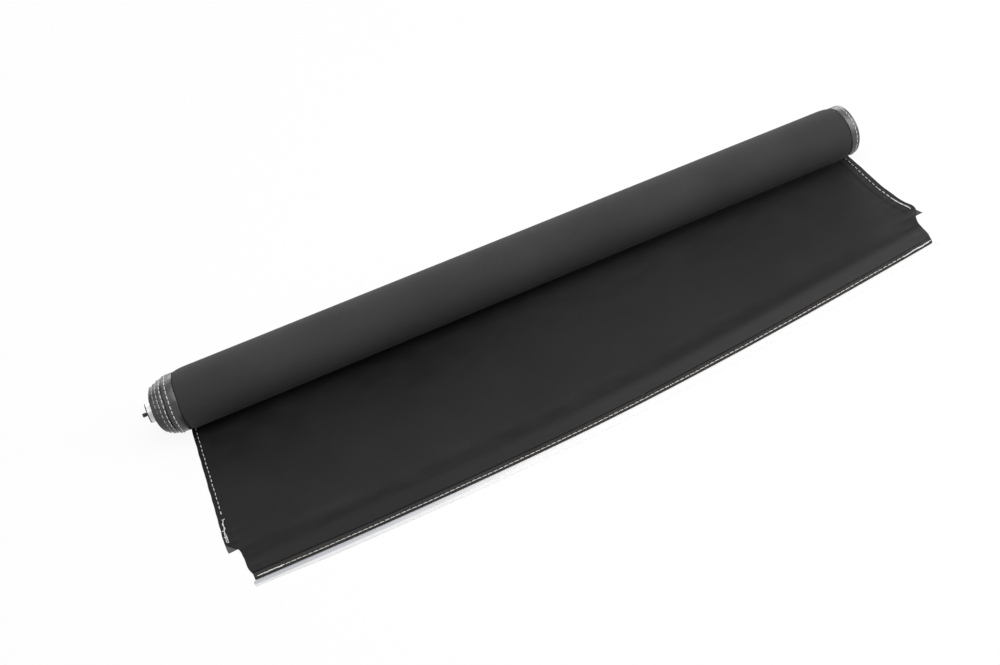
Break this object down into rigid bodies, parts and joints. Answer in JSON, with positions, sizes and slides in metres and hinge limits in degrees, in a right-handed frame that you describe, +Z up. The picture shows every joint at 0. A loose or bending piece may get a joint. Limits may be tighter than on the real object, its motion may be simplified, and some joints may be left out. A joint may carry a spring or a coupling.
{
  "type": "tonneau cover",
  "caption": "Spring-roller tonneau cover out of its cassette: black hemmed cloth wound on an aluminium tube, part unrolled, with a clear strip along its bowed front edge.",
  "frame": {"origin": "on the surface the cover lies on, straight under the middle of the roller axis", "axes": "+X along the roller to its spring end, -Y to the front edge of the cover, +Z up"},
  "size_m": [1.091, 0.3716, 0.084],
  "materials": {
    "cover_cloth": "black coated weave, matt",
    "hem_cloth": "black coated weave, folded",
    "hem_tape": "smooth grained tape, satin",
    "thread": "white sewing thread",
    "clear_strip": "clear, glossy",
    "tube_aluminium": "mill finish",
    "cast_plug": "die cast, bright",
    "black_plastic": "matt black",
    "black_steel": "blackened, satin",
    "nylon": "natural nylon",
    "steel": "drawn, bright",
    "spring_steel": "oiled spring steel",
    "sleeve_plastic": "thin shrunk sleeve"
  },
  "bodies": {
    "spindle": {"spindle_rod": "steel", "spindle_clip": "steel", "spring_hub": "black_plastic", "hub_pin": "steel", "torsion_spring": "spring_steel", "thrust_washer": "nylon", "free_sheet": "cover_cloth", "free_left_hem": "hem_tape", "free_right_hem": "hem_tape", "free_left_thread": "thread", "free_right_thread": "thread"},
    "roller": {"roller_tube": "tube_aluminium", "left_end_plug": "cast_plug", "left_end_disc": "black_plastic", "idler_bush": "nylon", "idler_pin_spring": "spring_steel", "right_end_plug": "cast_plug", "right_bush": "nylon", "spring_anchor_plug": "black_plastic", "spring_sleeve": "sleeve_plastic", "plug_rivets": "tube_aluminium", "cloth_spline": "nylon", "wound_cover": "cover_cloth", "wound_left_hem": "hem_tape", "wound_right_hem": "hem_tape", "wound_left_thread": "thread", "wound_right_thread": "thread"},
    "idler_pin": {"idler_pin": "black_steel"},
    "front_edge": {"front_hem": "hem_cloth", "edge_strip": "clear_strip", "front_thread": "thread"}
  },
  "joints": [
    {"name": "roller_turn", "type": "hinge", "parent": "spindle", "child": "roller", "pos_m": [0, 0, 0.0433], "axis": [1, 0, 0], "range_deg": [-1600, 120], "stiffness_Nm_per_rad": 0.04, "deforming": ["torsion_spring"]},
    {"name": "cover_pull", "type": "slide", "parent": "spindle", "child": "front_edge", "axis": [0, 1, 0], "range_m": [-1.16, 0.087], "deforming": ["free_sheet", "free_left_hem", "free_right_hem", "free_left_thread", "free_right_thread"]},
    {"name": "idler_pin_push", "type": "slide", "parent": "roller", "child": "idler_pin", "axis": [1, 0, 0], "range_m": [0, 0.005], "stiffness_N_per_m": 400, "springref_m": -0.004, "deforming": ["idler_pin_spring"]}
  ],
  "couplings": [
    {"joint": "cover_pull", "follows": "roller_turn", "m_per_rad": 0.0415}
  ]
}
